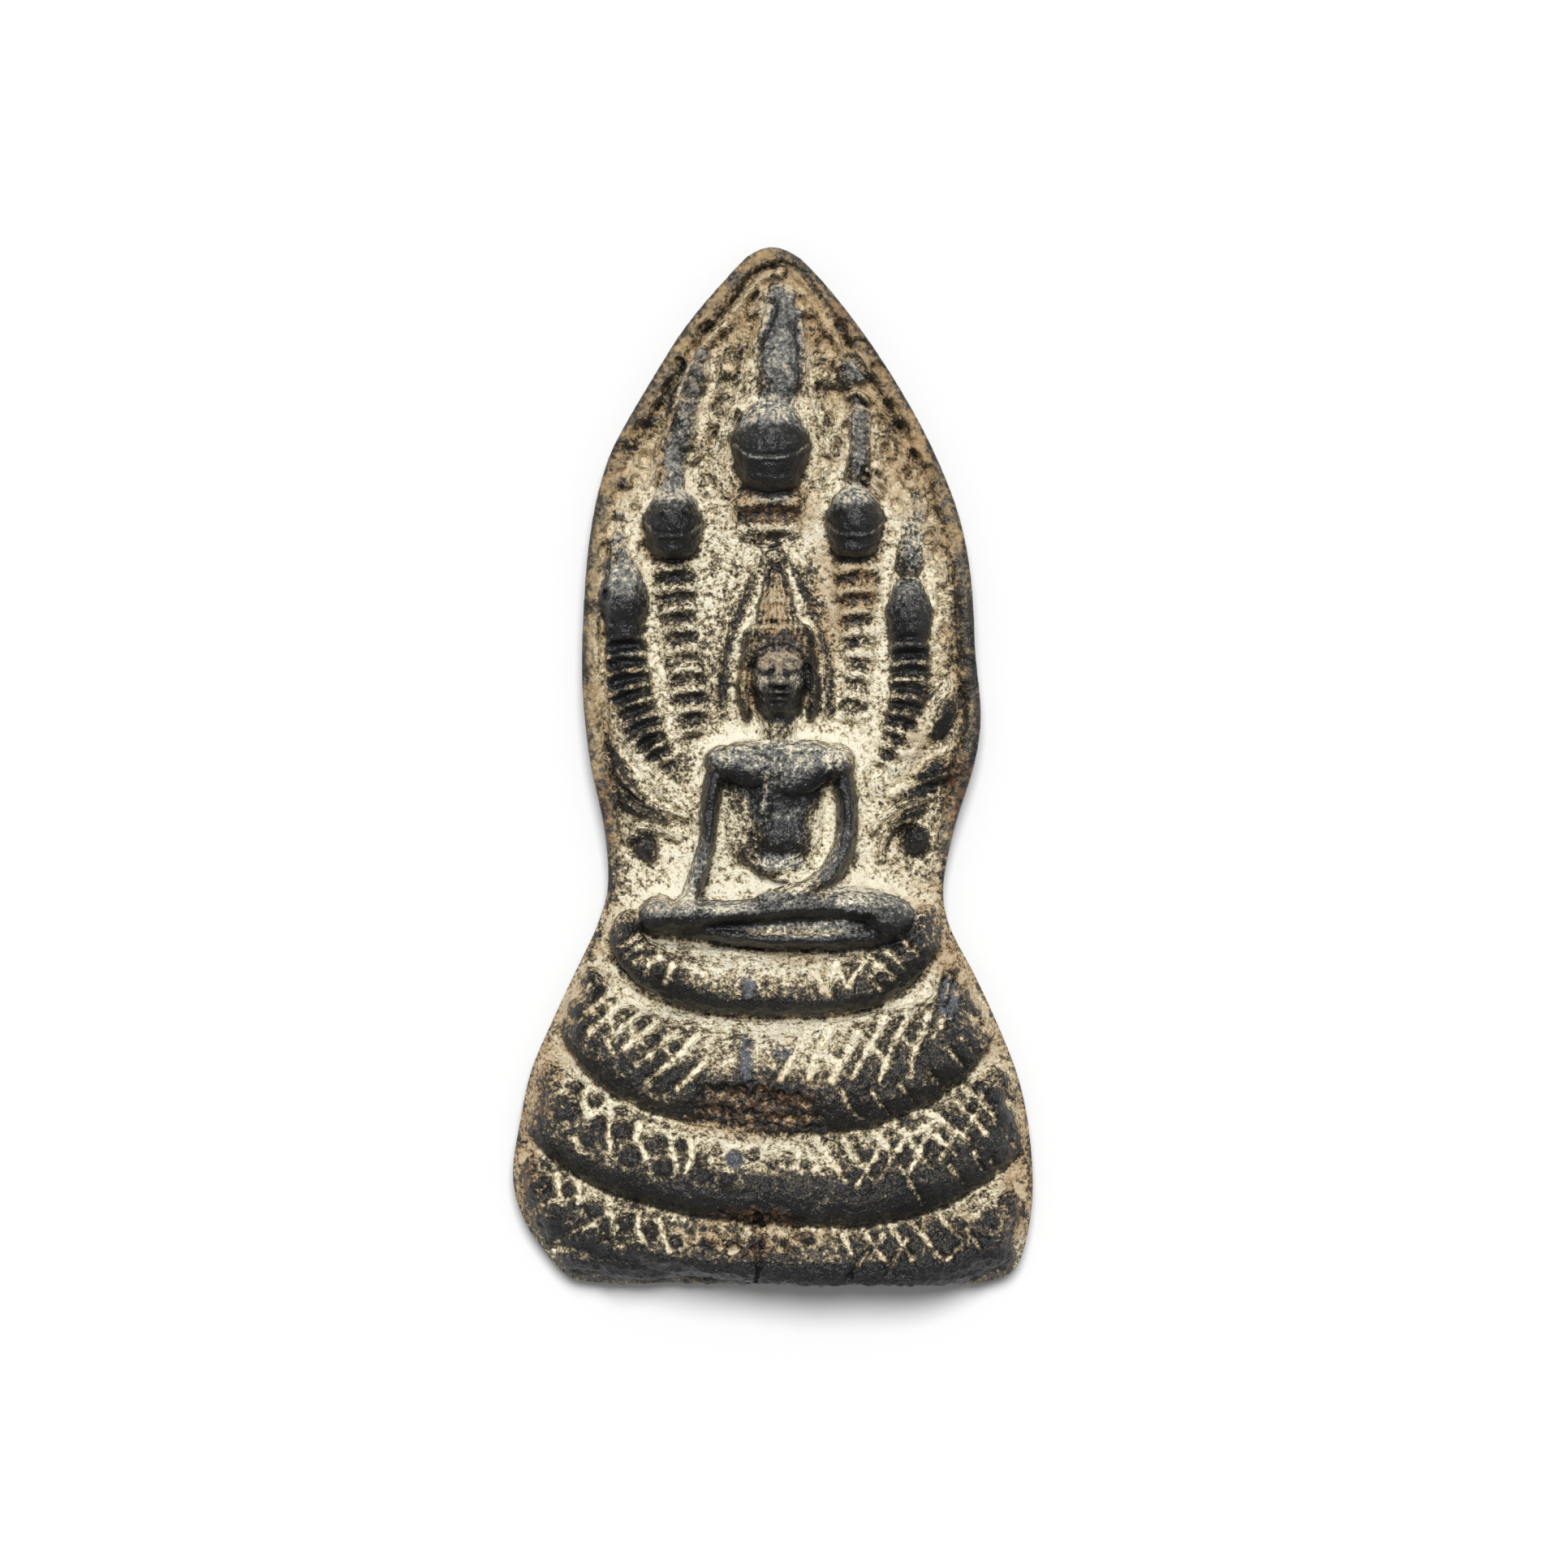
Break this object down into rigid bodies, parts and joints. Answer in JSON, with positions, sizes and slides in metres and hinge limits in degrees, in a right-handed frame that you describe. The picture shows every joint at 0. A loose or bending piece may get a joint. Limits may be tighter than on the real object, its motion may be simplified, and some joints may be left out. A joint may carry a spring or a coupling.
{
  "type": "naga buddha amulet",
  "caption": "Small pointed cast-metal plaque with a seated buddha in relief on a coiled serpent under its raised hood of heads.",
  "frame": {"origin": "middle of the flat back, on the surface that the plaque lies on", "axes": "+Z out of the relief, away from the flat back; +Y towards the point over the figure's head; +X to the viewer's right"},
  "size_m": [0.027, 0.054, 0.0056],
  "materials": {
    "patinated_metal": "dark patina, with pale ochre soil in the hollows"
  },
  "bodies": {
    "root": {"naga_buddha_amulet": "patinated_metal"}
  },
  "joints": []
}
